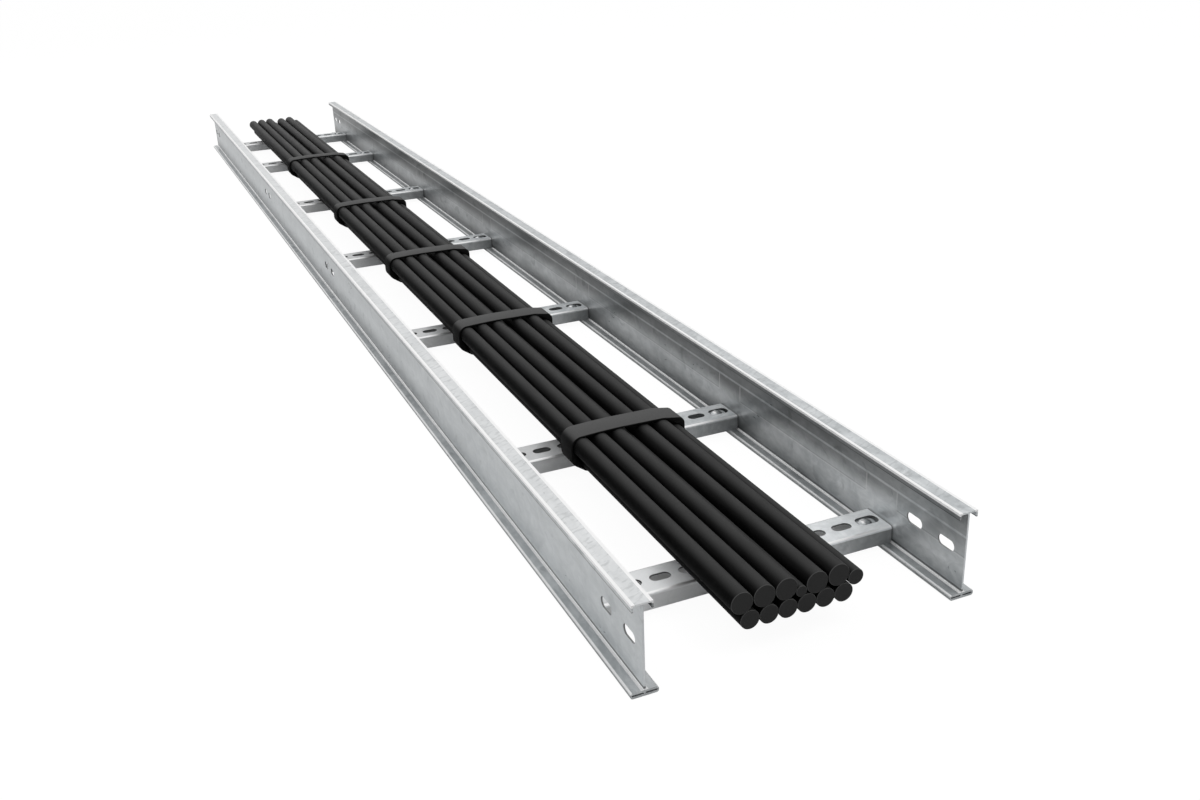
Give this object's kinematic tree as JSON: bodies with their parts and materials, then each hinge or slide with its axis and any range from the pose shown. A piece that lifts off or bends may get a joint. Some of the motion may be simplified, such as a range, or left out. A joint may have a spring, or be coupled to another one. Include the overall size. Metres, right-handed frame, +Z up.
{
  "type": "cable ladder section",
  "caption": "Straight steel cable ladder section with folded side rails, slotted rungs and a strapped bundle of black power cables lying along it.",
  "frame": {"origin": "middle of the section's length and width, at the underside of the rails", "axes": "+Y along the ladder, away from the near cable ends; +Z up from the rails' undersides; +X across to the right rail"},
  "size_m": [0.389, 3, 0.1],
  "materials": {
    "rail_zinc": "galvanised, satin with faint spangle",
    "rung_zinc": "galvanised, satin with faint spangle",
    "bolt_zinc": "zinc plated",
    "cable_sheath": "matte black sheath",
    "strap_band": "matte black band"
  },
  "bodies": {
    "root": {"rail_left": "rail_zinc", "rail_right": "rail_zinc", "rung_1": "rung_zinc", "rung_2": "rung_zinc", "rung_3": "rung_zinc", "rung_4": "rung_zinc", "rung_5": "rung_zinc", "rung_6": "rung_zinc", "rung_7": "rung_zinc", "rung_bolt_left_1": "bolt_zinc", "rung_bolt_right_1": "bolt_zinc", "rung_bolt_left_2": "bolt_zinc", "rung_bolt_right_2": "bolt_zinc", "rung_bolt_left_3": "bolt_zinc", "rung_bolt_right_3": "bolt_zinc", "rung_bolt_left_4": "bolt_zinc", "rung_bolt_right_4": "bolt_zinc", "rung_bolt_left_5": "bolt_zinc", "rung_bolt_right_5": "bolt_zinc", "rung_bolt_left_6": "bolt_zinc", "rung_bolt_right_6": "bolt_zinc", "rung_bolt_left_7": "bolt_zinc", "rung_bolt_right_7": "bolt_zinc", "rung_nut_left_1": "bolt_zinc", "rung_nut_right_1": "bolt_zinc", "rung_nut_left_2": "bolt_zinc", "rung_nut_right_2": "bolt_zinc", "rung_nut_left_3": "bolt_zinc", "rung_nut_right_3": "bolt_zinc", "rung_nut_left_4": "bolt_zinc", "rung_nut_right_4": "bolt_zinc", "rung_nut_left_5": "bolt_zinc", "rung_nut_right_5": "bolt_zinc", "rung_nut_left_6": "bolt_zinc", "rung_nut_right_6": "bolt_zinc", "rung_nut_left_7": "bolt_zinc", "rung_nut_right_7": "bolt_zinc", "cable_1": "cable_sheath", "cable_2": "cable_sheath", "cable_3": "cable_sheath", "cable_4": "cable_sheath", "cable_5": "cable_sheath", "cable_6": "cable_sheath", "cable_7": "cable_sheath", "cable_8": "cable_sheath", "cable_9": "cable_sheath", "cable_10": "cable_sheath", "cable_11": "cable_sheath", "cable_12": "cable_sheath", "cable_13": "cable_sheath", "strap_2": "strap_band", "strap_3": "strap_band", "strap_4": "strap_band", "strap_5": "strap_band", "strap_6": "strap_band"}
  },
  "joints": []
}
